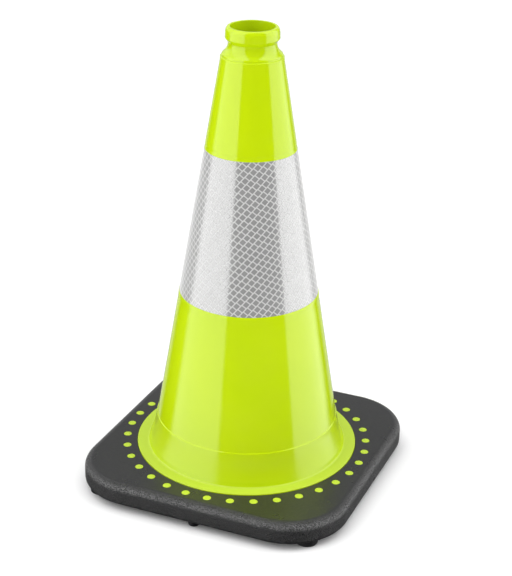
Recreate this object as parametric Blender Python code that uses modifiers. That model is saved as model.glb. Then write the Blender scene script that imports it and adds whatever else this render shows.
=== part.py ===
"""Traffic cone, 18 inch class: a lime PVC shell locked into a black ballast base,
with a two-layer reflective collar lying in a recess of the shell.

Frame: metres, +Z up, origin on the floor under the cone's axis.
Heights in the profile functions are measured from the flat top of the base.
"""

import math

import bmesh
import bpy
from mathutils import Matrix, Vector

# Whole object
TOTAL_HEIGHT = 0.4572
FOOT_HEIGHT = 0.0060
BASE_THICKNESS = 0.0230
BASE_TOP = FOOT_HEIGHT + BASE_THICKNESS
CONE_HEIGHT = TOTAL_HEIGHT - BASE_TOP
GAP = 0.0003
TURN_STEPS = 48
SHARP_EDGE_DEGREES = 35
MERGE_DISTANCE = 0.00001

# Ballast base
BASE_SIDE = 0.2746
BASE_CORNER_RADIUS = 0.0610
BASE_CORNER_STEPS = 7
BASE_TOP_EDGE_RADIUS = 0.0086
BASE_TOP_EDGE_STEPS = 4
BASE_LOW_EDGE_RADIUS = 0.0045
BASE_LOW_EDGE_STEPS = 2
BASE_BORE_RADIUS = 0.0995
BASE_SKIN = 0.0047
POCKET_WALL = 0.0080
POCKET_FLOOR = -0.0085
POCKET_CORNER_STEPS = 5
POCKET_INNER_RADIUS = 0.1370
POCKET_BOSS_RADIUS = 0.0145

# Shell: a straight taper, given by its outer radius at the base's top plane,
# that swells outward over the last part before the flange
SHELL_FOOT_RADIUS = 0.0956
SHELL_TAPER = 0.1655
SHELL_WALL = 0.0030
SWELL = 0.0052
SWELL_HEIGHT = 0.0300
SWELL_LEVELS = (0.0230, 0.0165, 0.0105, 0.0060)
UNDERSIDE_CHAMFER = 0.0015

# Flange of the shell: the visible ring, and the hidden one clamped in the base
FLANGE_RADIUS = 0.1110
FLANGE_PROUD = 0.0008
FLANGE_EDGE_STEPS = 2
FLANGE_FILLET = 0.0025
FLANGE_FILLET_START = 205
FLANGE_FILLET_STEPS = 2
HIDDEN_FLANGE_RADIUS = 0.1290
HIDDEN_FLANGE_THICKNESS = 0.0030
HIDDEN_FLANGE_TOP = -BASE_SKIN - GAP

# Bead around the foot of the shell
FOOT_BEAD_HEIGHT = 0.0329
FOOT_BEAD_WIDTH = 0.0022
FOOT_BEAD_PROUD = 0.0004

# Top of the wall: a rounded ridge, then an inset band, then the shoulder
RIDGE_HEIGHT = 0.4010
RIDGE_EDGE_RADIUS = 0.0008
RIDGE_EDGE_START = 85
RIDGE_EDGE_STEPS = 2
WALL_SLOPE_DEGREES = 9
BAND_RADIUS = 0.02845
BAND_LOW_RADIUS = 0.0282
SHOULDER_HEIGHT = 0.4042
SHOULDER_EDGE_RADIUS = 0.0013
SHOULDER_EDGE_START = 60
SHOULDER_EDGE_STEPS = 2

# Neck and rim
FLARE_RADIUS = 0.0271
FLARE_HEIGHT = 0.4043
FLARE_POWER = 2.4
FLARE_STEPS = 4
NECK_RADIUS = 0.0227
NECK_HEIGHT = 0.4135
RIM_RADIUS = 0.02545
RIM_TOP_RADIUS = 0.0253
RIM_LOW_HEIGHT = 0.4174
RIM_LOW_CHAMFER = 0.0007
RIM_ROUND_WIDTH = 0.0033
RIM_ROUND_HEIGHT = 0.0062
RIM_ROUND_STEPS = 4
RIM_INNER_ROUND = 0.0006
RIM_INNER_STEPS = 2
MOUTH_RADIUS = 0.0209
NECK_BORE_RADIUS = 0.0196
NECK_BORE_LOW = 0.4080
NECK_BORE_HIGH = 0.4175
HOLLOW_TOP = 0.4003

# Reflective collar and its recess in the shell
COLLAR_LOW = 0.1674
COLLAR_HIGH = 0.3128
FILM = 0.0004
RECESS_DEPTH = 2 * (FILM + GAP)
COLLAR_BEAD_PROUD = 0.0004
COLLAR_BEAD_EDGE = 0.0002
COLLAR_BEAD_WIDTH = 0.0096
COLLAR_BEAD_CREST = 0.0024

# Lock pins through the base's skin and the hidden flange
PIN_COUNT = 34
PIN_CIRCLE_RADIUS = 0.1218
PIN_RADIUS = 0.0042
PIN_LENGTH = 0.0145
PIN_DOME = 0.0003
PIN_DOME_INSET = 0.0013
PIN_SIDES = 10

# Feet
CORNER_FOOT_OFFSET = 0.1096
CORNER_FOOT_RADIUS = 0.0108
CORNER_STEM_RADIUS = 0.0045
SIDE_FOOT_OFFSET = 0.1264
SIDE_FOOT_RADIUS = 0.0059
SIDE_STEM_RADIUS = 0.0030
STEM_LENGTH = 0.0060
FOOT_CHAMFER = 0.0005
FOOT_SIDES = 16

# How far cutters reach past the faces they cut
CUT_OVER = 0.0020
DEEP_CUT_OVER = 0.0100


# ---------------------------------------------------------------- helpers

def clear_scene():
    for old in list(bpy.data.objects):
        bpy.data.objects.remove(old, do_unlink=True)


def new_collection(name):
    collection = bpy.data.collections.new(name)
    bpy.context.scene.collection.children.link(collection)
    return collection


def make_material(name, colour, roughness, metallic=0.0):
    material = bpy.data.materials.new(name)
    material.use_nodes = True
    shader = material.node_tree.nodes["Principled BSDF"]
    shader.inputs["Base Color"].default_value = (*colour, 1.0)
    shader.inputs["Roughness"].default_value = roughness
    shader.inputs["Metallic"].default_value = metallic
    return material


def add_object(name, mesh, collection, material=None):
    obj = bpy.data.objects.new(name, mesh)
    collection.objects.link(obj)
    if material is not None:
        mesh.materials.append(material)
    return obj


def hide_cutter(obj):
    obj.hide_render = True
    obj.display_type = "WIRE"
    return obj


def smooth(mesh):
    mesh.shade_smooth()
    mesh.set_sharp_from_angle(angle=math.radians(SHARP_EDGE_DEGREES))


def mesh_from_bmesh(bm, name):
    mesh = bpy.data.meshes.new(name)
    bm.to_mesh(mesh)
    bm.free()
    smooth(mesh)
    return mesh


def oval_arc(centre_r, centre_z, half_width, half_height, start, end, count):
    """Points of an oval arc in the (radius, height) plane, angles in degrees from +radius."""
    points = []
    for i in range(count + 1):
        angle = math.radians(start + (end - start) * i / count)
        r = centre_r + half_width * math.cos(angle)
        z = centre_z + half_height * math.sin(angle)
        points.append((r, z))
    return points


def arc(centre_r, centre_z, radius, start, end, count):
    return oval_arc(centre_r, centre_z, radius, radius, start, end, count)


def profile_mesh(name, points, closed):
    """A wire profile in the XZ plane, from (radius, height over the base's top) points."""
    vertices = [(r, 0.0, BASE_TOP + z) for r, z in points]
    edges = [(i, i + 1) for i in range(len(points) - 1)]
    if closed:
        edges.append((len(points) - 1, 0))
    mesh = bpy.data.meshes.new(name)
    mesh.from_pydata(vertices, edges, [])
    return mesh


def turn(obj, steps=TURN_STEPS):
    screw = obj.modifiers.new("Turn", "SCREW")
    screw.axis = "Z"
    screw.angle = math.radians(360)
    screw.steps = steps
    screw.render_steps = steps
    screw.use_merge_vertices = True
    screw.merge_threshold = MERGE_DISTANCE
    screw.use_smooth_shade = True
    return obj


def cut(obj, cutter):
    boolean = obj.modifiers.new("Cut " + cutter.name, "BOOLEAN")
    boolean.operation = "DIFFERENCE"
    boolean.solver = "EXACT"
    boolean.object = cutter


# ---------------------------------------------------------------- profiles

def swell(z):
    """How far the wall stands outside its straight taper, close to the flange."""
    if z >= SWELL_HEIGHT:
        return 0.0
    return SWELL * (1 - z / SWELL_HEIGHT) ** 2


def shell_radius(z):
    return SHELL_FOOT_RADIUS - SHELL_TAPER * z + swell(z)


def on_shell(z, proud=0.0):
    return (shell_radius(z) + proud, z)


def rim_profile():
    """From the top of the rim down its outside and in to the neck."""
    points = oval_arc(RIM_TOP_RADIUS - RIM_ROUND_WIDTH, CONE_HEIGHT - RIM_ROUND_HEIGHT,
                      RIM_ROUND_WIDTH, RIM_ROUND_HEIGHT, 90, 0, RIM_ROUND_STEPS)
    points.append((RIM_RADIUS, RIM_LOW_HEIGHT + RIM_LOW_CHAMFER))
    points.append((RIM_RADIUS - RIM_LOW_CHAMFER, RIM_LOW_HEIGHT))
    return points


def flare_profile():
    """From the neck down and out to the shoulder, more and more steeply."""
    points = []
    for i in range(FLARE_STEPS + 1):
        t = i / FLARE_STEPS
        r = NECK_RADIUS + (FLARE_RADIUS - NECK_RADIUS) * t ** FLARE_POWER
        z = NECK_HEIGHT + (FLARE_HEIGHT - NECK_HEIGHT) * t
        points.append((r, z))
    return points


def shoulder_profile():
    """The shoulder's rounded edge, the inset band under it and the ridge of the wall."""
    points = arc(BAND_RADIUS - SHOULDER_EDGE_RADIUS, SHOULDER_HEIGHT - SHOULDER_EDGE_RADIUS,
                 SHOULDER_EDGE_RADIUS, SHOULDER_EDGE_START, 0, SHOULDER_EDGE_STEPS)
    points.append((BAND_LOW_RADIUS, RIDGE_HEIGHT))
    centre_z = RIDGE_HEIGHT - RIDGE_EDGE_RADIUS
    centre_r = shell_radius(centre_z) - RIDGE_EDGE_RADIUS
    points += arc(centre_r, centre_z, RIDGE_EDGE_RADIUS,
                  RIDGE_EDGE_START, WALL_SLOPE_DEGREES, RIDGE_EDGE_STEPS)
    return points


def wall_profile():
    """The outside of the shell, with the collar's recess, its bead and the foot bead."""
    bead_top = COLLAR_LOW - GAP
    points = [
        on_shell(COLLAR_HIGH + GAP),
        on_shell(COLLAR_HIGH + GAP, -RECESS_DEPTH),
        on_shell(bead_top, -RECESS_DEPTH),
        on_shell(bead_top, COLLAR_BEAD_EDGE),
        on_shell(bead_top - COLLAR_BEAD_CREST, COLLAR_BEAD_PROUD),
        on_shell(bead_top - COLLAR_BEAD_WIDTH),
        on_shell(FOOT_BEAD_HEIGHT + FOOT_BEAD_WIDTH / 2),
        on_shell(FOOT_BEAD_HEIGHT + FOOT_BEAD_WIDTH / 4, FOOT_BEAD_PROUD),
        on_shell(FOOT_BEAD_HEIGHT - FOOT_BEAD_WIDTH / 4, FOOT_BEAD_PROUD),
        on_shell(FOOT_BEAD_HEIGHT - FOOT_BEAD_WIDTH / 2),
    ]
    points += [on_shell(z) for z in SWELL_LEVELS]
    return points


def flange_profile():
    """The fillet at the shell's foot, the visible ring and the hidden clamped ring."""
    start = math.radians(FLANGE_FILLET_START)
    centre_z = FLANGE_PROUD + FLANGE_FILLET
    start_z = centre_z + FLANGE_FILLET * math.sin(start)
    centre_r = shell_radius(start_z) - FLANGE_FILLET * math.cos(start)
    points = arc(centre_r, centre_z, FLANGE_FILLET, FLANGE_FILLET_START, 270, FLANGE_FILLET_STEPS)
    points += arc(FLANGE_RADIUS - FLANGE_PROUD, 0.0, FLANGE_PROUD, 90, 0, FLANGE_EDGE_STEPS)
    low = HIDDEN_FLANGE_TOP - HIDDEN_FLANGE_THICKNESS
    inner = FLANGE_RADIUS - SHELL_WALL
    points.append((FLANGE_RADIUS, HIDDEN_FLANGE_TOP))
    points.append((HIDDEN_FLANGE_RADIUS, HIDDEN_FLANGE_TOP))
    points.append((HIDDEN_FLANGE_RADIUS, low))
    points.append((inner, low))
    points.append((inner, FLANGE_PROUD - SHELL_WALL))
    return points


def inside_profile():
    """The inside of the shell, from the flange's underside up to the mouth."""
    under = FLANGE_PROUD - SHELL_WALL
    chamfer_top = under + UNDERSIDE_CHAMFER
    points = [
        on_shell(under, UNDERSIDE_CHAMFER - SHELL_WALL),
        on_shell(chamfer_top, -SHELL_WALL),
    ]
    points += [on_shell(z, -SHELL_WALL) for z in reversed(SWELL_LEVELS)]
    points += [
        on_shell(SWELL_HEIGHT, -SHELL_WALL),
        on_shell(HOLLOW_TOP, -SHELL_WALL),
        (NECK_BORE_RADIUS, NECK_BORE_LOW),
        (NECK_BORE_RADIUS, NECK_BORE_HIGH),
    ]
    points += arc(MOUTH_RADIUS + RIM_INNER_ROUND, CONE_HEIGHT - RIM_INNER_ROUND,
                  RIM_INNER_ROUND, 180, 90, RIM_INNER_STEPS)
    return points


# ---------------------------------------------------------------- cutters

def hole_ring(name, count, circle, radius, low, high, sides, collection):
    """Upright round cutters, evenly spaced on a circle, as one object."""
    bm = bmesh.new()
    height = high - low
    for i in range(count):
        angle = 2 * math.pi * i / count
        place = Matrix.Translation((circle * math.cos(angle), circle * math.sin(angle),
                                    BASE_TOP + (low + high) / 2))
        place = place @ Matrix.Rotation(angle, 4, "Z")
        bmesh.ops.create_cone(bm, cap_ends=True, cap_tris=False, segments=sides,
                              radius1=radius, radius2=radius, depth=height, matrix=place)
    return hide_cutter(add_object(name, mesh_from_bmesh(bm, name), collection))


def spot_holes(name, places, radius, low, high, sides, collection):
    """Upright round cutters at the given places, between two world heights."""
    bm = bmesh.new()
    for x, y in places:
        bmesh.ops.create_cone(bm, cap_ends=True, cap_tris=False, segments=sides,
                              radius1=radius, radius2=radius, depth=high - low,
                              matrix=Matrix.Translation((x, y, (low + high) / 2)))
    return hide_cutter(add_object(name, mesh_from_bmesh(bm, name), collection))


def rounded_slab(side, corner_radius, low, high, segments):
    """A square slab with round corners, as a bmesh."""
    bm = bmesh.new()
    place = Matrix.Translation((0, 0, (low + high) / 2)) @ Matrix.Diagonal((side, side, high - low, 1))
    bmesh.ops.create_cube(bm, size=1.0, matrix=place)
    upright = []
    for edge in bm.edges:
        first, second = edge.verts
        if abs(first.co.z - second.co.z) > 0.5 * (high - low):
            upright.append(edge)
    bmesh.ops.bevel(bm, geom=upright, offset=corner_radius, offset_type="OFFSET",
                    segments=segments, profile=0.5, affect="EDGES")
    return bm


def round_rim(bm, height, radius, segments):
    """Round the edges of a slab that lie at one height."""
    rim = []
    for edge in bm.edges:
        if all(abs(vertex.co.z - height) < MERGE_DISTANCE for vertex in edge.verts):
            rim.append(edge)
    bmesh.ops.bevel(bm, geom=rim, offset=radius, offset_type="OFFSET",
                    segments=segments, profile=0.5, affect="EDGES")


def flange_space_cutter(collection):
    """The bore of the base and the slot that clamps the shell's hidden flange."""
    slot_top = HIDDEN_FLANGE_TOP + GAP
    slot_low = HIDDEN_FLANGE_TOP - HIDDEN_FLANGE_THICKNESS - GAP
    step_top = FLANGE_PROUD - SHELL_WALL - GAP
    step_radius = FLANGE_RADIUS - SHELL_WALL - GAP
    points = [
        (0.0, DEEP_CUT_OVER),
        (FLANGE_RADIUS + GAP, DEEP_CUT_OVER),
        (FLANGE_RADIUS + GAP, slot_top),
        (HIDDEN_FLANGE_RADIUS + GAP, slot_top),
        (HIDDEN_FLANGE_RADIUS + GAP, slot_low),
        (step_radius, slot_low),
        (step_radius, step_top),
        (BASE_BORE_RADIUS, step_top),
        (BASE_BORE_RADIUS, -BASE_THICKNESS - DEEP_CUT_OVER),
        (0.0, -BASE_THICKNESS - DEEP_CUT_OVER),
    ]
    obj = add_object("flange_space", profile_mesh("flange_space", points, False), collection)
    return hide_cutter(turn(obj))


def pocket_cutter(collection):
    """Weight-saving pockets under the four corners, around the corner feet's bosses."""
    bm = rounded_slab(BASE_SIDE - 2 * POCKET_WALL, BASE_CORNER_RADIUS - POCKET_WALL,
                      FOOT_HEIGHT - CUT_OVER, BASE_TOP + POCKET_FLOOR, POCKET_CORNER_STEPS)
    obj = hide_cutter(add_object("corner_pockets", mesh_from_bmesh(bm, "corner_pockets"), collection))
    ring = spot_holes("pocket_inner_wall", [(0.0, 0.0)], POCKET_INNER_RADIUS,
                      FOOT_HEIGHT - DEEP_CUT_OVER, BASE_TOP, TURN_STEPS, collection)
    bosses = spot_holes("pocket_bosses", corner_places(), POCKET_BOSS_RADIUS,
                        FOOT_HEIGHT - DEEP_CUT_OVER, BASE_TOP, FOOT_SIDES, collection)
    cut(obj, ring)
    cut(obj, bosses)
    return obj


# ---------------------------------------------------------------- places

def corner_places():
    d = CORNER_FOOT_OFFSET
    return [(d, d), (-d, d), (-d, -d), (d, -d)]


def side_places():
    d = SIDE_FOOT_OFFSET
    return [(d, 0.0), (0.0, d), (-d, 0.0), (0.0, -d)]


# ---------------------------------------------------------------- parts

def build_cone_body(parts, cutters, material):
    """The lime shell in one moulding: rim, neck, shoulder, wall, flange and clamped ring."""
    points = rim_profile() + flare_profile() + shoulder_profile()
    points += wall_profile() + flange_profile() + inside_profile()
    obj = turn(add_object("cone_body", profile_mesh("cone_body", points, True), parts, material))
    low = HIDDEN_FLANGE_TOP - HIDDEN_FLANGE_THICKNESS
    holes = hole_ring("flange_holes", PIN_COUNT, PIN_CIRCLE_RADIUS, PIN_RADIUS + GAP,
                      low - CUT_OVER, HIDDEN_FLANGE_TOP + CUT_OVER, PIN_SIDES, cutters)
    cut(obj, holes)
    return obj


def build_base(parts, cutters, material):
    """The black ballast base: a rounded slab with the flange slot, pin holes and pockets."""
    bm = rounded_slab(BASE_SIDE, BASE_CORNER_RADIUS, FOOT_HEIGHT, BASE_TOP, BASE_CORNER_STEPS)
    round_rim(bm, BASE_TOP, BASE_TOP_EDGE_RADIUS, BASE_TOP_EDGE_STEPS)
    round_rim(bm, FOOT_HEIGHT, BASE_LOW_EDGE_RADIUS, BASE_LOW_EDGE_STEPS)
    obj = add_object("ballast_base", mesh_from_bmesh(bm, "ballast_base"), parts, material)
    cut(obj, flange_space_cutter(cutters))
    cut(obj, pocket_cutter(cutters))
    cut(obj, hole_ring("pin_holes", PIN_COUNT, PIN_CIRCLE_RADIUS, PIN_RADIUS + GAP,
                       -PIN_LENGTH - GAP, CUT_OVER, PIN_SIDES, cutters))
    stem_top = FOOT_HEIGHT + STEM_LENGTH + GAP
    cut(obj, spot_holes("corner_foot_sockets", corner_places(), CORNER_STEM_RADIUS + GAP,
                        FOOT_HEIGHT - CUT_OVER, stem_top, FOOT_SIDES, cutters))
    cut(obj, spot_holes("side_foot_sockets", side_places(), SIDE_STEM_RADIUS + GAP,
                        FOOT_HEIGHT - CUT_OVER, stem_top, FOOT_SIDES, cutters))
    return obj


def build_film(name, inner_offset, parts, material):
    """One layer of the collar: a thin tapered ring lying parallel to the shell."""
    outer_offset = inner_offset + FILM
    points = [
        on_shell(COLLAR_HIGH, outer_offset),
        on_shell(COLLAR_LOW, outer_offset),
        on_shell(COLLAR_LOW, inner_offset),
        on_shell(COLLAR_HIGH, inner_offset),
    ]
    return turn(add_object(name, profile_mesh(name, points, True), parts, material))


def pin_mesh():
    """A round pin with a slightly domed top, its origin in the base's top plane."""
    bm = bmesh.new()
    bmesh.ops.create_cone(bm, cap_ends=True, cap_tris=False, segments=PIN_SIDES,
                          radius1=PIN_RADIUS, radius2=PIN_RADIUS, depth=PIN_LENGTH,
                          matrix=Matrix.Translation((0, 0, -PIN_LENGTH / 2)))
    top = max(bm.faces, key=lambda face: face.calc_center_median().z)
    bmesh.ops.inset_individual(bm, faces=[top], thickness=PIN_DOME_INSET)
    bmesh.ops.translate(bm, verts=list(top.verts), vec=Vector((0, 0, PIN_DOME)))
    return mesh_from_bmesh(bm, "lock_pin")


def build_pins(parts, material):
    """The ring of lime pins that tie the hidden flange to the base."""
    mesh = pin_mesh()
    mesh.materials.append(material)
    for i in range(PIN_COUNT):
        angle = 2 * math.pi * i / PIN_COUNT
        obj = add_object(f"lock_pin_{i + 1:02d}", mesh, parts)
        obj.location = (PIN_CIRCLE_RADIUS * math.cos(angle), PIN_CIRCLE_RADIUS * math.sin(angle), BASE_TOP)
        obj.rotation_euler = (0, 0, angle)


def foot_profile(radius, stem_radius):
    """A push-in foot, from the top of its stem down to the face that meets the floor."""
    shoulder = -BASE_THICKNESS - GAP
    floor = -BASE_TOP
    return [
        (0.0, -BASE_THICKNESS + STEM_LENGTH),
        (stem_radius, -BASE_THICKNESS + STEM_LENGTH),
        (stem_radius, shoulder),
        (radius, shoulder),
        (radius, floor + FOOT_CHAMFER),
        (radius - FOOT_CHAMFER, floor),
        (0.0, floor),
    ]


def build_feet(kind, places, radius, stem_radius, parts, material):
    mesh = profile_mesh(kind, foot_profile(radius, stem_radius), False)
    mesh.materials.append(material)
    for i, (x, y) in enumerate(places):
        obj = turn(add_object(f"{kind}_{i + 1}", mesh, parts), FOOT_SIDES)
        obj.location = (x, y, 0)


def main():
    clear_scene()
    parts = new_collection("traffic_cone")
    cutters = new_collection("cutters")
    lime = make_material("lime_pvc", (0.53, 0.80, 0.012), 0.28)
    black = make_material("black_pvc", (0.045, 0.046, 0.048), 0.62)
    foot_black = make_material("foot_rubber", (0.02, 0.02, 0.021), 0.5)
    backing = make_material("collar_backing", (0.80, 0.80, 0.79), 0.5)
    prismatic = make_material("collar_prismatic", (0.78, 0.78, 0.77), 0.2)
    build_cone_body(parts, cutters, lime)
    build_base(parts, cutters, black)
    build_film("collar_backing_film", GAP - RECESS_DEPTH, parts, backing)
    build_film("collar_prismatic_film", -FILM, parts, prismatic)
    build_pins(parts, lime)
    build_feet("corner_foot", corner_places(), CORNER_FOOT_RADIUS, CORNER_STEM_RADIUS, parts, foot_black)
    build_feet("side_foot", side_places(), SIDE_FOOT_RADIUS, SIDE_STEM_RADIUS, parts, foot_black)


main()
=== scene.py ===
"""Looks of the traffic cone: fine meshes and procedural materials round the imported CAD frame."""

import math

import bmesh
import bpy
from mathutils import Matrix, Vector


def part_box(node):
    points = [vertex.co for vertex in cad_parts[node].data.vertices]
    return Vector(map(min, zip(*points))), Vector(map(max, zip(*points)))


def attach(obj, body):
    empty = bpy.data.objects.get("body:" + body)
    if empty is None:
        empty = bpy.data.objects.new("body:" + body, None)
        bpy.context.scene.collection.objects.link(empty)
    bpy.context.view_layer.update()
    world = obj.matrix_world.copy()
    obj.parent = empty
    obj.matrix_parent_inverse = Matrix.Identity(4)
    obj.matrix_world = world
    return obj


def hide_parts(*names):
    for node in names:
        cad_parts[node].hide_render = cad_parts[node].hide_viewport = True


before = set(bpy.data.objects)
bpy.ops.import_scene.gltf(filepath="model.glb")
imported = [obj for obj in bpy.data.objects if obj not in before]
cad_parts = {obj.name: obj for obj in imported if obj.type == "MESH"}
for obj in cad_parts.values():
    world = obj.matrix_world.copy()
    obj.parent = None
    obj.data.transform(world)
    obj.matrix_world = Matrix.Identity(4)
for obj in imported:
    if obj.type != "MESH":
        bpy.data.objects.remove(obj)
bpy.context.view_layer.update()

MM = 0.001

# ---------------------------------------------------------------- sizes read from the frame

BASE_LOW, BASE_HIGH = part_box("ballast_base")
_, BODY_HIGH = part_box("cone_body")
FILM_LOW, FILM_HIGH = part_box("collar_prismatic_film")
PIN_LOW, PIN_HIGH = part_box("lock_pin_01")
BASE_TOP = BASE_HIGH.z
BASE_SIDE = BASE_HIGH.x - BASE_LOW.x
CONE_HEIGHT = BODY_HIGH.z - BASE_TOP
COLLAR_LOW = FILM_LOW.z - BASE_TOP
COLLAR_HIGH = FILM_HIGH.z - BASE_TOP
HIDDEN_FLANGE_RADIUS = BODY_HIGH.x
PIN_CIRCLE_RADIUS = (PIN_LOW.x + PIN_HIGH.x) / 2
PIN_RADIUS = (PIN_HIGH.x - PIN_LOW.x) / 2
PIN_COUNT = 34
PIN_STEP = 2 * math.pi / PIN_COUNT
FEET = [f"{kind}_foot_{i}" for kind in ("corner", "side") for i in (1, 2, 3, 4)]

# ---------------------------------------------------------------- sizes, most shared with the CAD part

SHELL_FOOT_RADIUS = 95.6 * MM
SHELL_TAPER = 0.1655
SHELL_WALL = 3.0 * MM
FLANGE_RADIUS = 111.0 * MM
FLANGE_PROUD = 0.8 * MM
FLANGE_FILLET = 2.5 * MM
FLANGE_EDGE = 0.7 * MM
BASE_SKIN = 4.7 * MM
HIDDEN_FLANGE_TOP = -5.0 * MM
HIDDEN_FLANGE_BOTTOM = -8.0 * MM
FOOT_BEAD_HEIGHT = 32.9 * MM
FOOT_FLARE_HEIGHT = 30.0 * MM
FOOT_FLARE = 5.2 * MM
FOOT_STEP = 0.7 * MM
FOOT_STEP_ROUNDING = 1.2 * MM
FOOT_STEP_END = 8.0 * MM
GROOVE_DEPTH = 0.2 * MM
GROOVE_ABOVE_COLLAR = 3.0 * MM
GROOVE_HALF_WIDTH = 2.8 * MM
LIP_PROUD = 0.4 * MM
LIP_BELOW_COLLAR = 1.2 * MM
LIP_FADE = 8.5 * MM
RIDGE_HEIGHT = 401.0 * MM
RIDGE_EDGE = 0.8 * MM
RIDGE_FILLET = 0.45 * MM
RIDGE_PROUD = 0.3 * MM
BAND_RADIUS = 28.45 * MM
SHOULDER_HEIGHT = 404.2 * MM
SHOULDER_EDGE = 2.2 * MM
FLARE_RADIUS = 27.0 * MM
FLARE_HEIGHT = 404.3 * MM
FLARE_POWER = 2.4
FLARE_STEPS = 20
NECK_RADIUS = 22.7 * MM
NECK_HEIGHT = 413.5 * MM
NECK_FILLET = 1.4 * MM
NECK_BORE = 19.6 * MM
RIM_RADIUS = 25.45 * MM
RIM_TOP_RADIUS = 25.3 * MM
RIM_ROUND_WIDTH = 2.9 * MM
RIM_ROUND_HEIGHT = 6.2 * MM
RIM_LOW_HEIGHT = 417.4 * MM
RIM_LOW_EDGE = 0.9 * MM
MOUTH_RADIUS = 20.9 * MM
MOUTH_EDGE = 0.3 * MM
FILM = 0.4 * MM
FILM_EDGE = 0.12 * MM
BACKING_DEPTH = 0.7 * MM
RECESS_DEPTH = 1.4 * MM
BASE_CORNER = 61.0 * MM
BASE_TOP_EDGE = 8.6 * MM
BASE_LOW_EDGE = 4.5 * MM
BASE_BORE = 99.5 * MM
PIN_SOCKET_DEPTH = 14.8 * MM
PIN_DOME = 0.3 * MM
PIN_EDGE = 0.3 * MM
FOOT_EDGE = 0.5 * MM
FOOT_DRAFT = 0.3 * MM
FOOT_STEM = 0.45
GAP = 0.3 * MM
TURN_STEPS = 192
SHARP_ANGLE = math.radians(38)

# ---------------------------------------------------------------- camera

VIEW_AZIMUTH = math.radians(22.9)
CAMERA_DISTANCE = 1.32773
CAMERA_HEIGHT = 0.76902
CAMERA_PAN = 0.0053
CAMERA_TILT = 0.4253
CAMERA_ROLL = 0.0175
CAMERA_LENS = 93.15


def place_camera():
    """Looks along +Y before the whole rig is turned to the view's azimuth about the cone's axis."""
    pan, tilt = CAMERA_PAN, CAMERA_TILT
    forward = Vector((math.sin(pan) * math.cos(tilt), math.cos(pan) * math.cos(tilt), -math.sin(tilt)))
    level = Vector((math.cos(pan), -math.sin(pan), 0.0))
    above = level.cross(forward)
    right = math.cos(CAMERA_ROLL) * level + math.sin(CAMERA_ROLL) * above
    up = math.cos(CAMERA_ROLL) * above - math.sin(CAMERA_ROLL) * level
    rotation = Matrix((right, up, -forward)).transposed().to_4x4()
    spot = Matrix.Translation((0.0, -CAMERA_DISTANCE, CAMERA_HEIGHT + BASE_TOP))
    data = bpy.data.cameras.new("view_camera")
    data.sensor_width = 36.0
    data.lens = CAMERA_LENS
    camera = bpy.data.objects.new("view_camera", data)
    bpy.context.scene.collection.objects.link(camera)
    camera.matrix_world = Matrix.Rotation(VIEW_AZIMUTH, 4, "Z") @ spot @ rotation
    bpy.context.scene.camera = camera


# ---------------------------------------------------------------- mesh helpers

def add_mesh(name, bm, material):
    """Turns a bmesh into an object, smooth but for its sharp edges."""
    bmesh.ops.recalc_face_normals(bm, faces=bm.faces)
    mesh = bpy.data.meshes.new(name)
    bm.to_mesh(mesh)
    bm.free()
    mesh.shade_smooth()
    mesh.set_sharp_from_angle(angle=SHARP_ANGLE)
    mesh.materials.append(material)
    obj = bpy.data.objects.new(name, mesh)
    bpy.context.scene.collection.objects.link(obj)
    return obj


def oval_arc(centre_r, centre_z, half_width, half_height, start, end, count):
    """Points of an oval arc in the (radius, height) plane, angles in degrees from +radius."""
    points = []
    for i in range(count + 1):
        angle = math.radians(start + (end - start) * i / count)
        points.append((centre_r + half_width * math.cos(angle), centre_z + half_height * math.sin(angle)))
    return points


def arc(centre_r, centre_z, radius, start, end, count):
    """Points of a round arc, given as oval_arc's are."""
    return oval_arc(centre_r, centre_z, radius, radius, start, end, count)


def turned(points, closed, steps=TURN_STEPS):
    """A bmesh turned about the Z axis from (radius, height over the base's top) points."""
    bm = bmesh.new()
    verts = [bm.verts.new((r, 0.0, BASE_TOP + z)) for r, z in points]
    edges = [bm.edges.new(pair) for pair in zip(verts, verts[1:])]
    if closed:
        edges.append(bm.edges.new((verts[-1], verts[0])))
    bmesh.ops.spin(bm, geom=verts + edges, cent=(0, 0, 0), axis=(0, 0, 1), dvec=(0, 0, 0),
                   angle=2 * math.pi, steps=steps, use_merge=True, use_duplicate=False)
    bmesh.ops.remove_doubles(bm, verts=bm.verts, dist=1e-7)
    return bm


def place(piece, *cad_nodes, slot):
    """Puts a piece on the one body there is, in the place of its CAD nodes."""
    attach(piece, "root")
    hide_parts(*cad_nodes)


def cut(obj, cutters):
    """Cuts the cutters out of an object for good and removes them."""
    for cutter in cutters:
        boolean = obj.modifiers.new("cut", "BOOLEAN")
        boolean.operation = "DIFFERENCE"
        boolean.solver = "EXACT"
        boolean.object = cutter
    evaluated = obj.evaluated_get(bpy.context.evaluated_depsgraph_get())
    mesh = bpy.data.meshes.new_from_object(evaluated)
    obj.modifiers.clear()
    obj.data = mesh
    for cutter in cutters:
        bpy.data.objects.remove(cutter)


# ---------------------------------------------------------------- shell profile

def raised_cosine(z, centre, half_width):
    """A smooth hump: 1 at its centre, 0 from half_width away."""
    distance = abs(z - centre) / half_width
    if distance >= 1.0:
        return 0.0
    return 0.5 + 0.5 * math.cos(math.pi * distance)


def foot_flare(z):
    """The wall swings outward towards the flange."""
    return FOOT_FLARE * max(0.0, 1.0 - max(z, 0.0) / FOOT_FLARE_HEIGHT) ** 2


def foot_step(z):
    """Below the foot bead the wall stands a little proud and fades back."""
    if z >= FOOT_BEAD_HEIGHT:
        return FOOT_STEP * raised_cosine(z, FOOT_BEAD_HEIGHT, FOOT_STEP_ROUNDING)
    return FOOT_STEP * max(0.0, (z - FOOT_STEP_END) / (FOOT_BEAD_HEIGHT - FOOT_STEP_END))


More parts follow.
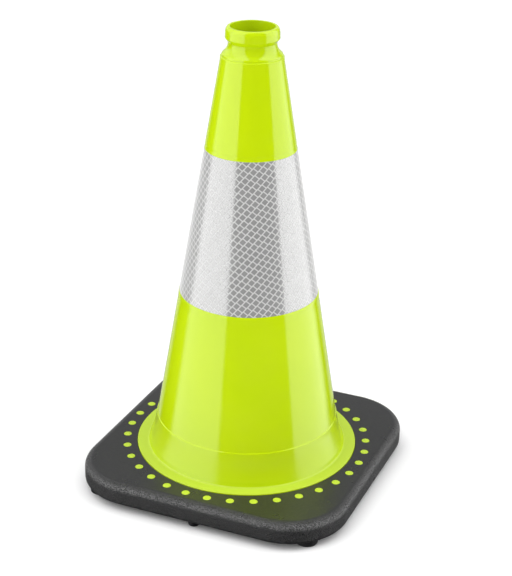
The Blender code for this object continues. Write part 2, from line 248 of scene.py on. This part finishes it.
def shell_offset(z):
    """How far the shell's skin stands off its straight taper, at one height."""
    offset = foot_step(z) + foot_flare(z)
    offset -= GROOVE_DEPTH * raised_cosine(z, COLLAR_HIGH + GROOVE_ABOVE_COLLAR, GROOVE_HALF_WIDTH)
    below = COLLAR_LOW - z
    if below > 0.0:
        half_width = LIP_BELOW_COLLAR if below < LIP_BELOW_COLLAR else LIP_FADE
        offset += LIP_PROUD * raised_cosine(z, COLLAR_LOW - LIP_BELOW_COLLAR, half_width)
    return offset


def shell_radius(z):
    """The straight taper of the outside of the shell."""
    return SHELL_FOOT_RADIUS - SHELL_TAPER * z


def shell_run(top, bottom, step):
    """Points down the outside of the shell between two heights."""
    count = max(1, round((top - bottom) / step))
    points = []
    for i in range(count + 1):
        z = top + (bottom - top) * i / count
        points.append((shell_radius(z) + shell_offset(z), z))
    return points


def rim_and_neck():
    """From the rim's top down over the neck, the flare, the shoulder and the inset band to the ridge."""
    points = oval_arc(RIM_TOP_RADIUS - RIM_ROUND_WIDTH, CONE_HEIGHT - RIM_ROUND_HEIGHT,
                      RIM_ROUND_WIDTH, RIM_ROUND_HEIGHT, 90, 4, 18)
    points += arc(RIM_RADIUS - RIM_LOW_EDGE, RIM_LOW_HEIGHT + 0.6 * MM, RIM_LOW_EDGE, 4, -50, 5)
    points += arc(NECK_RADIUS + NECK_FILLET, NECK_HEIGHT + 0.3 * MM, NECK_FILLET, 128, 178, 5)
    for i in range(1, FLARE_STEPS + 1):
        t = i / FLARE_STEPS
        r = NECK_RADIUS + (FLARE_RADIUS - NECK_RADIUS) * t ** FLARE_POWER
        points.append((r, NECK_HEIGHT + (FLARE_HEIGHT - NECK_HEIGHT) * t))
    points += arc(BAND_RADIUS - SHOULDER_EDGE, SHOULDER_HEIGHT - SHOULDER_EDGE, SHOULDER_EDGE, 45, 0, 8)
    fillet_z = RIDGE_HEIGHT + 0.05 * MM + RIDGE_FILLET
    points += arc(BAND_RADIUS + RIDGE_FILLET, fillet_z, RIDGE_FILLET, 180, 262, 5)
    ridge_z = RIDGE_HEIGHT - RIDGE_EDGE
    ridge_r = shell_radius(ridge_z) + RIDGE_PROUD - RIDGE_EDGE
    points += arc(ridge_r, ridge_z, RIDGE_EDGE, 80, 2, 9)
    return points


def outer_wall():
    """From the ridge down past the collar's recess and the foot bead, in fine steps where it curves."""
    edge = 0.06 * MM
    top = COLLAR_HIGH + edge
    low = COLLAR_LOW - edge
    points = shell_run(RIDGE_HEIGHT - 4 * MM, COLLAR_HIGH + 10 * MM, 12 * MM)
    points += shell_run(COLLAR_HIGH + 7 * MM, top, 0.5 * MM)
    points.append((shell_radius(top) - RECESS_DEPTH, top))
    points.append((shell_radius(low) - RECESS_DEPTH, low))
    points += shell_run(low, COLLAR_LOW - 11 * MM, 0.5 * MM)
    points += shell_run(COLLAR_LOW - 16 * MM, FOOT_BEAD_HEIGHT + 6 * MM, 14 * MM)
    points += shell_run(FOOT_BEAD_HEIGHT + 2.0 * MM, FOOT_BEAD_HEIGHT - 2.0 * MM, 0.125 * MM)
    points += shell_run(FOOT_BEAD_HEIGHT - 4 * MM, FLANGE_PROUD + FLANGE_FILLET + MM, 2 * MM)
    return points


def flange():
    """The fillet at the wall's foot, the flange on the base, and the hidden flange inside the base."""
    centre_z = FLANGE_PROUD + FLANGE_FILLET
    foot = shell_radius(centre_z) + foot_flare(centre_z)
    points = arc(foot + FLANGE_FILLET * 0.9, centre_z, FLANGE_FILLET, 206, 270, 8)
    points += arc(FLANGE_RADIUS - FLANGE_EDGE, FLANGE_PROUD - FLANGE_EDGE, FLANGE_EDGE, 90, 0, 6)
    inner = FLANGE_RADIUS - SHELL_WALL
    points += [
        (FLANGE_RADIUS, HIDDEN_FLANGE_TOP), (HIDDEN_FLANGE_RADIUS, HIDDEN_FLANGE_TOP),
        (HIDDEN_FLANGE_RADIUS, HIDDEN_FLANGE_BOTTOM), (inner, HIDDEN_FLANGE_BOTTOM),
        (inner, FLANGE_PROUD - SHELL_WALL),
    ]
    return points


def inner_wall():
    """From the underside of the flange up the inside of the shell to the mouth."""
    under = FLANGE_PROUD - SHELL_WALL
    top = FLARE_HEIGHT - 4.5 * MM
    foot = shell_radius(under) + foot_flare(under) - SHELL_WALL
    fillet = 1.5 * MM
    points = arc(foot + fillet, under + fillet, fillet, 270, 206, 5)
    for z in (3 * MM, 8 * MM, 14 * MM, 20 * MM, 26 * MM):
        points.append((shell_radius(z) + foot_flare(z) - SHELL_WALL, z))
    points += [
        (shell_radius(top) - SHELL_WALL, top),
        (shell_radius(top) - SHELL_WALL - 0.8 * MM, top + 1.6 * MM),
        (NECK_BORE + 0.8 * MM, NECK_HEIGHT - 6.4 * MM),
        (NECK_BORE, NECK_HEIGHT - 4.6 * MM),
        (NECK_BORE, NECK_HEIGHT + 4.0 * MM),
    ]
    points += arc(MOUTH_RADIUS + MOUTH_EDGE, CONE_HEIGHT - MOUTH_EDGE, MOUTH_EDGE, 180, 94, 6)
    return points


def pin_spot(i, z):
    """Where one pin of the ring stands."""
    angle = i * PIN_STEP
    return Vector((PIN_CIRCLE_RADIUS * math.cos(angle), PIN_CIRCLE_RADIUS * math.sin(angle), z))


def pin_holes(low, high, sides):
    """Upright cutters round the pin circle, between two heights over the base's top."""
    bm = bmesh.new()
    radius = PIN_RADIUS + GAP
    for i in range(PIN_COUNT):
        spot = pin_spot(i, BASE_TOP + (low + high) / 2)
        bmesh.ops.create_cone(bm, cap_ends=True, cap_tris=False, segments=sides, radius1=radius,
                              radius2=radius, depth=high - low, matrix=Matrix.Translation(spot))
    return bm


def build_shell(material):
    points = rim_and_neck() + outer_wall() + flange() + inner_wall()
    shell = add_mesh("lime_shell", turned(points, True), material)
    holes = add_mesh("holes", pin_holes(HIDDEN_FLANGE_BOTTOM - MM, HIDDEN_FLANGE_TOP + MM, 24), material)
    cut(shell, [holes])
    place(shell, "cone_body", slot="lime_pvc")


# ---------------------------------------------------------------- collar

COLLAR_SEAM = math.radians(152.0)
COLLAR_OVERLAP = 7.0 * MM
COLLAR_STEPS = 260
COLLAR_MIDDLE = 240.0 * MM
LAP_GAP = 0.05 * MM
TAPER_ANGLE = math.atan(SHELL_TAPER)


def flat_point(angle, z):
    """Where a point of the collar lies in the flat sheet it is cut from, in millimetres."""
    apex = SHELL_FOOT_RADIUS / SHELL_TAPER
    slant = (apex - z) / math.cos(TAPER_ANGLE)
    middle = (apex - COLLAR_MIDDLE) / math.cos(TAPER_ANGLE)
    turn = angle * math.sin(TAPER_ANGLE)
    return (slant * math.sin(turn) / MM, (middle - slant * math.cos(turn)) / MM)


def film_strip(name, skin_offset, overlap, material):
    """One layer of the collar: a thin strip wrapped once round the shell, with a lapped seam."""
    front = VIEW_AZIMUTH - math.radians(90)
    start = COLLAR_SEAM - 2 * math.pi
    lap = overlap / shell_radius((COLLAR_LOW + COLLAR_HIGH) / 2)
    section = [
        (COLLAR_HIGH - FILM_EDGE, 0.0), (COLLAR_HIGH, -FILM_EDGE),
        (COLLAR_HIGH, FILM_EDGE - FILM), (COLLAR_HIGH - FILM_EDGE, -FILM),
        (COLLAR_LOW + FILM_EDGE, -FILM), (COLLAR_LOW, FILM_EDGE - FILM),
        (COLLAR_LOW, -FILM_EDGE), (COLLAR_LOW + FILM_EDGE, 0.0),
    ]
    bm = bmesh.new()
    uv_layer = bm.loops.layers.uv.new("flat")
    rows = []
    places_in_sheet = {}
    for i in range(COLLAR_STEPS + 1):
        angle = start + (2 * math.pi + lap) * i / COLLAR_STEPS
        lift = 0.0
        if lap > 0.0:
            past_ramp = (angle - COLLAR_SEAM) / (2 * lap) + 1.0
            lift = (FILM + LAP_GAP) * min(1.0, max(0.0, past_ramp))
        row = []
        for z, depth in section:
            r = shell_radius(z) + skin_offset + depth + lift
            vert = bm.verts.new((r * math.cos(front + angle), r * math.sin(front + angle), BASE_TOP + z))
            places_in_sheet[vert] = flat_point(angle, z)
            row.append(vert)
        rows.append(row)
    count = len(section)
    for row, next_row in zip(rows, rows[1:]):
        for k in range(count):
            face = bm.faces.new((row[k], row[(k + 1) % count], next_row[(k + 1) % count], next_row[k]))
            for loop in face.loops:
                loop[uv_layer].uv = places_in_sheet[loop.vert]
    for end in (rows[0][::-1], rows[-1]):
        bm.faces.new(end)
    return add_mesh(name, bm, material)


def build_collar(front_material, back_material):
    front = film_strip("collar_face", 0.0, COLLAR_OVERLAP, front_material)
    place(front, "collar_prismatic_film", slot="collar_prismatic")
    back = film_strip("collar_backing", -BACKING_DEPTH, 0.0, back_material)
    place(back, "collar_backing_film", slot="collar_backing")


# ---------------------------------------------------------------- base

def rounded_slab(side, corner, low, high, segments):
    """A square slab with round corners."""
    bm = bmesh.new()
    spot = Matrix.Translation((0, 0, (low + high) / 2)) @ Matrix.Diagonal((side, side, high - low, 1))
    bmesh.ops.create_cube(bm, size=1.0, matrix=spot)
    upright = [e for e in bm.edges if abs(e.verts[0].co.z - e.verts[1].co.z) > 0.5 * (high - low)]
    bmesh.ops.bevel(bm, geom=upright, offset=corner, offset_type="OFFSET", segments=segments,
                    profile=0.5, affect="EDGES")
    return bm


def round_rim(bm, height, radius, segments):
    """Rounds every edge that lies flat at one height."""
    rim = [e for e in bm.edges if all(abs(v.co.z - height) < 1e-6 for v in e.verts)]
    bmesh.ops.bevel(bm, geom=rim, offset=radius, offset_type="OFFSET", segments=segments,
                    profile=0.5, affect="EDGES")


def flange_space():
    """The bore of the base and the slot that clamps the shell's hidden flange."""
    margin = 10 * MM
    depth = BASE_HIGH.z - BASE_LOW.z
    edge = 0.5 * MM
    points = [(0.0, margin), (FLANGE_RADIUS + GAP + edge, margin)]
    points += arc(FLANGE_RADIUS + GAP + edge, -edge, edge, 90, 180, 4)
    points += [
        (FLANGE_RADIUS + GAP, -BASE_SKIN), (HIDDEN_FLANGE_RADIUS + GAP, -BASE_SKIN),
        (HIDDEN_FLANGE_RADIUS + GAP, HIDDEN_FLANGE_BOTTOM - GAP),
        (FLANGE_RADIUS - SHELL_WALL - GAP, HIDDEN_FLANGE_BOTTOM - GAP),
        (FLANGE_RADIUS - SHELL_WALL - GAP, FLANGE_PROUD - SHELL_WALL - GAP),
        (BASE_BORE, FLANGE_PROUD - SHELL_WALL - GAP),
        (BASE_BORE, -depth - margin), (0.0, -depth - margin),
    ]
    return turned(points, False)


def build_base(material):
    bm = rounded_slab(BASE_SIDE, BASE_CORNER, BASE_LOW.z, BASE_TOP, 28)
    round_rim(bm, BASE_TOP, BASE_TOP_EDGE, 10)
    round_rim(bm, BASE_LOW.z, BASE_LOW_EDGE, 6)
    base = add_mesh("black_base", bm, material)
    space = add_mesh("space", flange_space(), material)
    holes = add_mesh("holes", pin_holes(-PIN_SOCKET_DEPTH, 2 * MM, 32), material)
    cut(base, [space, holes])
    base.data.shade_smooth()
    base.data.set_sharp_from_angle(angle=SHARP_ANGLE)
    weighted = base.modifiers.new("even shading", "WEIGHTED_NORMAL")
    weighted.keep_sharp = True
    place(base, "ballast_base", slot="black_pvc")


# ---------------------------------------------------------------- pins and feet

def build_pins(material):
    """Each pin's top is a low dome with a rounded edge."""
    sphere = (PIN_RADIUS * PIN_RADIUS + PIN_DOME * PIN_DOME) / (2 * PIN_DOME)
    dome_steps = 6
    for i in range(PIN_COUNT):
        low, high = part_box(f"lock_pin_{i + 1:02d}")
        top = high.z - BASE_TOP
        points = [(0.0, top)]
        for k in range(1, dome_steps + 1):
            r = (PIN_RADIUS - PIN_EDGE) * k / dome_steps
            points.append((r, top - sphere + math.sqrt(sphere * sphere - r * r)))
        shoulder = points[-1][1]
        points += arc(PIN_RADIUS - PIN_EDGE, shoulder - PIN_EDGE, PIN_EDGE, 60, 0, 3)
        points += [(PIN_RADIUS, low.z - BASE_TOP), (0.0, low.z - BASE_TOP)]
        pin = add_mesh(f"pin_{i + 1:02d}", turned(points, False, 36), material)
        pin.data.transform(Matrix.Translation(pin_spot(i, 0.0)))
        place(pin, f"lock_pin_{i + 1:02d}", slot="lime_pvc")


def build_feet(material):
    """Each foot is a low drum with rounded edges, on a stem that goes up into the base."""
    for name in FEET:
        low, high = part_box(name)
        radius = (high.x - low.x) / 2
        stem = radius * FOOT_STEM
        shoulder = BASE_LOW.z - GAP - BASE_TOP
        floor = low.z - BASE_TOP
        points = [(0.0, high.z - BASE_TOP), (stem, high.z - BASE_TOP), (stem, shoulder)]
        points += arc(radius - FOOT_EDGE, shoulder - FOOT_EDGE, FOOT_EDGE, 90, 0, 4)
        points += arc(radius - FOOT_DRAFT - FOOT_EDGE, floor + FOOT_EDGE, FOOT_EDGE, 0, -90, 5)
        points.append((0.0, floor))
        foot = add_mesh("round_" + name, turned(points, False, 64), material)
        foot.data.transform(Matrix.Translation(((low.x + high.x) / 2, (low.y + high.y) / 2, 0.0)))
        place(foot, name, slot="foot_black")


# ---------------------------------------------------------------- node helpers

class Graph:
    """Short calls for building a material's or the world's nodes."""

    def __init__(self, tree):
        self.tree = tree
        self.nodes = tree.nodes
        self.nodes.clear()

    def link(self, source, socket):
        if isinstance(source, bpy.types.NodeSocket):
            self.tree.links.new(source, socket)
        else:
            socket.default_value = source

    def add(self, kind, **settings):
        node = self.nodes.new(kind)
        for key, value in settings.items():
            setattr(node, key, value)
        return node

    def where(self):
        """The shaded point in the object's own coordinates."""
        return self.add("ShaderNodeTexCoord").outputs["Object"]

    def split(self, vector):
        node = self.add("ShaderNodeSeparateXYZ")
        self.link(vector, node.inputs[0])
        return node.outputs

    def upward(self):
        """How far the surface faces up: 1 on a level top, 0 on an upright side."""
        return self.split(self.add("ShaderNodeNewGeometry").outputs["Normal"])["Z"]

    def math(self, operation, a, b=0.0):
        node = self.add("ShaderNodeMath", operation=operation)
        self.link(a, node.inputs[0])
        self.link(b, node.inputs[1])
        return node.outputs[0]

    def noise(self, vector, scale, detail=2.0, roughness=0.5):
        node = self.add("ShaderNodeTexNoise")
        self.link(vector, node.inputs["Vector"])
        node.inputs["Scale"].default_value = scale
        node.inputs["Detail"].default_value = detail
        node.inputs["Roughness"].default_value = roughness
        return node.outputs["Fac"]

    def ramp(self, value, low, high, out_low=0.0, out_high=1.0):
        """Goes smoothly from out_low to out_high while the value goes from low to high."""
        node = self.add("ShaderNodeMapRange", clamp=True, interpolation_type="SMOOTHSTEP")
        self.link(value, node.inputs["Value"])
        self.link(low, node.inputs["From Min"])
        self.link(high, node.inputs["From Max"])
        self.link(out_low, node.inputs["To Min"])
        self.link(out_high, node.inputs["To Max"])
        return node.outputs["Result"]

    def mix(self, factor, a, b):
        node = self.add("ShaderNodeMix", data_type="RGBA")
        self.link(factor, node.inputs["Factor"])
        self.link(a, node.inputs["A"])
        self.link(b, node.inputs["B"])
        return node.outputs["Result"]

    def bump(self, height, strength, distance, normal=None):
        node = self.add("ShaderNodeBump")
        self.link(strength, node.inputs["Strength"])
        node.inputs["Distance"].default_value = distance
        self.link(height, node.inputs["Height"])
        if normal is not None:
            self.link(normal, node.inputs["Normal"])
        return node.outputs["Normal"]

    def surface(self, **inputs):
        shader = self.add("ShaderNodeBsdfPrincipled")
        for key, value in inputs.items():
            self.link(value, shader.inputs[key.replace("_", " ")])
        output = self.add("ShaderNodeOutputMaterial")
        self.link(shader.outputs[0], output.inputs["Surface"])
        return shader


def new_material(name):
    material = bpy.data.materials.new(name)
    material.use_nodes = True
    return material, Graph(material.node_tree)


# ---------------------------------------------------------------- materials

LIME_DEEP = (0.503, 0.685, 0.0025, 1)
LIME_LIGHT = (0.528, 0.702, 0.0035, 1)
LIME_PAINTED_SHEEN = (0.490, 0.650, 0.036, 1)
SATIN_DARK = (0.018, 0.0182, 0.020, 1)
SATIN_LIGHT = (0.027, 0.0272, 0.029, 1)
GRAIN_DARK = (0.006, 0.006, 0.006, 1)
GRAIN_LIGHT = (0.040, 0.040, 0.041, 1)
# A painted highlight for the base's rounded edges.
PAINTED_HIGHLIGHT_ON_ROUNDING = (0.14, 0.14, 0.14, 1)
FOOT_DARK = (0.010, 0.010, 0.011, 1)
FOOT_LIGHT = (0.022, 0.022, 0.023, 1)
CELL_DARK = (0.445, 0.445, 0.442, 1)
CELL_LIGHT = (0.475, 0.475, 0.472, 1)
CELL_MIDDLE = (0.51, 0.51, 0.507, 1)
WELD_WHITE = (0.575, 0.575, 0.57, 1)
BACKING_DARK = (0.68, 0.68, 0.67, 1)
BACKING_LIGHT = (0.78, 0.78, 0.77, 1)
FLOOR_DARK = (0.93, 0.93, 0.93, 1)
FLOOR_LIGHT = (0.95, 0.95, 0.95, 1)


def lime_material():
    """Gloss on the walls, satin near the base on what faces up: the flange and the pin heads, which also
    get a paler colour there as a painted sheen of the light from above.
    """
    material, g = new_material("lime_pvc")
    where = g.where()
    near_base = g.ramp(g.split(where)["Z"], BASE_TOP + 18 * MM, BASE_TOP + 34 * MM, 1.0, 0.0)
    level = g.math("MULTIPLY", g.ramp(g.upward(), 0.34, 0.96), near_base)
    cloud = g.ramp(g.noise(where, 14.0, 3.0), 0.3, 0.7)
    # What faces up near the base is mixed towards a paler lime: a painted sheen of the light from above.
    colour = g.mix(level, g.mix(cloud, LIME_DEEP, LIME_LIGHT), LIME_PAINTED_SHEEN)
    gloss = g.ramp(g.noise(where, 60.0, 4.0), 0.3, 0.7, 0.09, 0.14)
    foot_gloss = g.math("ADD", gloss, g.math("MULTIPLY", near_base, 0.10))
    roughness = g.math("ADD", foot_gloss, g.math("MULTIPLY", level, 0.26))
    wave = g.bump(g.noise(where, 22.0, 1.0), 0.25, 0.0006)
    normal = g.bump(g.noise(where, 900.0, 2.0), 0.10, 0.00006, wave)
    shader = g.surface(Base_Color=colour, Roughness=roughness, Normal=normal)
    shader.inputs["IOR"].default_value = 1.55
    return material


def base_material():
    """Satin on the flat top, a leathery grain on the rounded edges and the sides, with a speckled painted
    highlight along the middle of the rounded edges.
    """
    material, g = new_material("black_grained_pvc")
    where = g.where()
    upward = g.upward()
    grain_amount = g.ramp(upward, 0.86, 0.995, 1.0, 0.12)
    cells = g.add("ShaderNodeTexVoronoi", feature="F1")
    g.link(where, cells.inputs["Vector"])
    cells.inputs["Scale"].default_value = 1000.0
    rough_grain = g.noise(where, 850.0, 3.0, 0.6)
    height = g.math("ADD", cells.outputs["Distance"], rough_grain)
    fleck = g.ramp(g.noise(where, 380.0, 4.0, 0.7), 0.42, 0.68)
    flat_colour = g.mix(fleck, SATIN_DARK, SATIN_LIGHT)
    speckle = g.ramp(g.noise(where, 1100.0, 1.0, 0.5), 0.43, 0.59)
    grain_and_highlight_colour = g.mix(speckle, GRAIN_DARK, GRAIN_LIGHT)
    # Between the flat top and the sides the grain is mixed towards light speckles: a painted highlight on
    # the rounded edges.
    below_top = g.ramp(upward, 0.50, 0.94, 1.0, 0.0)
    painted_highlight_band = g.math("MULTIPLY", g.ramp(upward, 0.0, 0.45), below_top)
    grain_and_highlight_colour = g.mix(g.math("MULTIPLY", painted_highlight_band, speckle), grain_and_highlight_colour, PAINTED_HIGHLIGHT_ON_ROUNDING)
    colour = g.mix(grain_amount, flat_colour, grain_and_highlight_colour)
    roughness = g.ramp(g.noise(where, 45.0, 4.0), 0.3, 0.7, 0.27, 0.36)
    normal = g.bump(height, grain_amount, 0.0006)
    shader = g.surface(Base_Color=colour, Roughness=roughness, Normal=normal)
    shader.inputs["Specular IOR Level"].default_value = 0.65
    return material


def foot_material():
    material, g = new_material("smooth_black_foot")
    where = g.where()
    colour = g.mix(g.ramp(g.noise(where, 90.0, 4.0), 0.35, 0.7), FOOT_DARK, FOOT_LIGHT)
    roughness = g.ramp(g.noise(where, 160.0, 3.0), 0.3, 0.7, 0.32, 0.48)
    normal = g.bump(g.noise(where, 1200.0, 2.0), 0.15, 0.0002)
    g.surface(Base_Color=colour, Roughness=roughness, Normal=normal)
    return material


# The lattice of the sheeting. Lengths are in millimetres of the flat sheet.
STRIP_ANGLE = math.radians(-42.563)
STRIP_PITCH = 5.4183
STRIP_PHASE = 4.4142
CELL_PITCH = 5.6445
CELL_SHIFT = 1.8872
CELL_PHASE = 1.5145
CELL_SKEW = 0.0797
WELD_HALF_WIDTH = 0.52
WELD_SOFTNESS = 0.22


def across_strip(g, sheet, angle, phase):
    """How far a point of the flat sheet lies along one direction, in millimetres."""
    along = g.math("MULTIPLY", sheet["X"], math.cos(angle))
    up = g.math("MULTIPLY", sheet["Y"], math.sin(angle))
    return g.math("SUBTRACT", g.math("ADD", along, up), phase)


def distance_to_edge(g, turns, pitch):
    """Distance in millimetres to the nearest whole number of turns."""
    part = g.math("FRACT", turns)
    return g.math("MULTIPLY", g.math("MINIMUM", part, g.math("SUBTRACT", 1.0, part)), pitch)


def prism_cells(g, sheet):
    """Square cells in strips, each strip slipped by a third of a cell: edge distance and cell index."""
    strip_turns = g.math("DIVIDE", across_strip(g, sheet, STRIP_ANGLE, STRIP_PHASE), STRIP_PITCH)
    strip = g.math("FLOOR", strip_turns)
    along = across_strip(g, sheet, STRIP_ANGLE + math.radians(90), CELL_PHASE)
    across = g.math("SUBTRACT", g.math("SUBTRACT", strip_turns, strip), 0.5)
    skew = g.math("MULTIPLY", across, CELL_SKEW * STRIP_PITCH)
    slip = g.math("ADD", g.math("MULTIPLY", strip, CELL_SHIFT), skew)
    slipped = g.math("SUBTRACT", along, slip)
    cell_turns = g.math("DIVIDE", slipped, CELL_PITCH)
    nearest = g.add("ShaderNodeMath", operation="SMOOTH_MIN")
    g.link(distance_to_edge(g, strip_turns, STRIP_PITCH), nearest.inputs[0])
    g.link(distance_to_edge(g, cell_turns, CELL_PITCH), nearest.inputs[1])
    nearest.inputs[2].default_value = 0.5
    index = g.add("ShaderNodeCombineXYZ")
    g.link(strip, index.inputs["X"])
    g.link(g.math("FLOOR", cell_turns), index.inputs["Y"])
    return nearest.outputs[0], index.outputs[0]


def collar_material():
    """Prismatic sheeting: metallised cells between white weld lines."""
    material, g = new_material("prismatic_sheeting")
    sheet = g.split(g.add("ShaderNodeUVMap", uv_map="flat").outputs["UV"])
    where = g.where()
    edge_distance, cell_index = prism_cells(g, sheet)
    cell_noise = g.add("ShaderNodeTexWhiteNoise", noise_dimensions="2D")
    g.link(cell_index, cell_noise.inputs["Vector"])
    weld = g.ramp(edge_distance, WELD_HALF_WIDTH - WELD_SOFTNESS, WELD_HALF_WIDTH + WELD_SOFTNESS, 1.0, 0.0)
    middle = g.ramp(edge_distance, 0.9, 2.4)
    cell_colour = g.mix(cell_noise.outputs["Value"], CELL_DARK, CELL_LIGHT)
    cell_colour = g.mix(g.math("MULTIPLY", middle, 0.5), cell_colour, CELL_MIDDLE)
    colour = g.mix(weld, cell_colour, WELD_WHITE)
    metallic = g.math("MULTIPLY", g.math("SUBTRACT", 1.0, weld), 0.46)
    roughness = g.ramp(g.noise(where, 300.0, 2.0), 0.3, 0.7, 0.12, 0.17)
    welded = g.bump(weld, 0.25, -0.0002)
    normal = g.bump(g.noise(where, 500.0, 2.0), 0.007, 0.0001, welded)
    shader = g.surface(Base_Color=colour, Metallic=metallic, Roughness=roughness, Normal=normal)
    shader.inputs["Sheen Weight"].default_value = 0.8
    shader.inputs["Sheen Roughness"].default_value = 0.5
    return material


def backing_material():
    material, g = new_material("white_backing_film")
    where = g.where()
    colour = g.mix(g.noise(where, 120.0, 3.0), BACKING_DARK, BACKING_LIGHT)
    normal = g.bump(g.noise(where, 1200.0, 2.0), 0.1, 0.0001)
    g.surface(Base_Color=colour, Roughness=0.55, Normal=normal)
    return material


def floor_material():
    material, g = new_material("pale_floor")
    colour = g.mix(g.noise(g.where(), 3.0, 2.0), FLOOR_DARK, FLOOR_LIGHT)
    g.surface(Base_Color=colour, Roughness=0.9)
    return material


# ---------------------------------------------------------------- studio

FLOOR_HALF_SIDE = 6.0


def build_floor():
    """A wide pale floor that gloss doesn't mirror."""
    bm = bmesh.new()
    bmesh.ops.create_grid(bm, x_segments=8, y_segments=8, size=FLOOR_HALF_SIDE)
    floor = add_mesh("studio_floor", bm, floor_material())
    floor.visible_glossy = False


# Brightness of each part of the studio, and where the soft boxes stand: two azimuths in degrees, with 0
# towards the camera and left negative, then how soft the edge at each of them is.
LEFT_BOX = 2.28
RIGHT_BOX = 2.42
LEFT_SPAN = (-106.0, -34.0, 6.0, 1.5)
LEFT_HIGH_SPAN = (-146.0, -100.0, 6.0, 6.0)
LEFT_HIGH_LEVEL = 0.55
RIGHT_SPAN = (59.5, 128.0, 1.5, 10.0)
ZENITH = 2.6
BACK_WALL = 0.78
BACK_SHADE = 0.45
FRONT_FILL = 15.5
OVERHEAD_FILL = 31.0
BACKDROP = 1.3


def soft_box(g, azimuth, low, high, edge_low, edge_high):
    """1 inside a range of azimuth in degrees, with an edge of its own softness on each side."""
    rise = g.ramp(azimuth, low - edge_low, low + edge_low)
    fall = g.ramp(azimuth, high - edge_high, high + edge_high, 1.0, 0.0)
    return g.math("MULTIPLY", rise, fall)


def build_studio_light():
    """A bright cap overhead, a wall behind and a large soft box on each side, dark in front.

    The camera itself sees a white backdrop.
    """
    world = bpy.data.worlds.new("studio")
    world.use_nodes = True
    bpy.context.scene.world = world
    g = Graph(world.node_tree)
    turn = g.add("ShaderNodeVectorRotate", rotation_type="Z_AXIS")
    g.link(g.add("ShaderNodeTexCoord").outputs["Generated"], turn.inputs["Vector"])
    turn.inputs["Angle"].default_value = -VIEW_AZIMUTH
    direction = g.split(turn.outputs[0])
    toward_camera = g.math("MULTIPLY", direction["Y"], -1.0)
    azimuth = g.math("DEGREES", g.math("ARCTAN2", direction["X"], toward_camera))
    height = direction["Z"]

    left_high = g.math("MULTIPLY", soft_box(g, azimuth, *LEFT_HIGH_SPAN),
                       g.ramp(height, 0.0, 0.15, 0.0, LEFT_HIGH_LEVEL))
    left = g.math("MAXIMUM", soft_box(g, azimuth, *LEFT_SPAN), left_high)
    right = soft_box(g, azimuth, *RIGHT_SPAN)
    boxes = g.math("ADD", g.math("MULTIPLY", left, LEFT_BOX), g.math("MULTIPLY", right, RIGHT_BOX))
    upright = g.math("MULTIPLY", g.ramp(height, -0.39, -0.345), g.ramp(height, 0.985, 0.999, 1.0, 0.0))
    sides = g.math("MULTIPLY", boxes, upright)

    behind = g.ramp(g.math("ABSOLUTE", azimuth), 138.0, 152.0)
    shade = g.math("MULTIPLY", g.ramp(height, 0.33, 0.42), g.ramp(height, 0.62, 0.85, 1.0, 0.0))
    wall_light = g.math("MULTIPLY", g.ramp(shade, 0.0, 1.0, BACK_WALL, BACK_SHADE),
                        g.ramp(height, -0.3, 0.1, 0.9, 1.0))
    back = g.math("MULTIPLY", g.math("MULTIPLY", behind, g.ramp(height, -0.60, -0.45)), wall_light)
    soft = g.math("MAXIMUM", g.ramp(height, 0.985, 0.998, 0.0, ZENITH), back)

    seen = g.add("ShaderNodeLightPath").outputs["Is Camera Ray"]
    total = g.math("MAXIMUM", g.math("ADD", soft, sides), g.math("MULTIPLY", seen, BACKDROP))
    background = g.add("ShaderNodeBackground")
    g.link(total, background.inputs["Strength"])
    output = g.add("ShaderNodeOutputWorld")
    g.link(background.outputs[0], output.inputs["Surface"])


def soft_panel(name, spot, aim_height, width, depth, power):
    """A large soft panel that gloss doesn't mirror, placed in the camera's own frame."""
    data = bpy.data.lights.new(name, "AREA")
    data.shape = "RECTANGLE"
    data.size = width
    data.size_y = depth
    data.energy = power
    panel = bpy.data.objects.new(name, data)
    bpy.context.scene.collection.objects.link(panel)
    panel.visible_glossy = False
    spot = Matrix.Rotation(VIEW_AZIMUTH, 4, "Z") @ Vector(spot)
    aim = (Vector((0.0, 0.0, aim_height)) - spot).to_track_quat("-Z", "Y")
    panel.matrix_world = Matrix.Translation(spot) @ aim.to_matrix().to_4x4()


# ---------------------------------------------------------------- scene

bpy.context.scene.view_settings.view_transform = "Standard"
place_camera()
lime = lime_material()
build_shell(lime)
build_collar(collar_material(), backing_material())
build_base(base_material())
build_pins(lime)
build_feet(foot_material())
build_floor()
build_studio_light()
soft_panel("front_fill", (0.4, -2.0, 1.5), 0.2, 2.4, 2.0, FRONT_FILL)
soft_panel("overhead_fill", (0.0, 0.0, 2.6), 0.0, 3.0, 3.0, OVERHEAD_FILL)
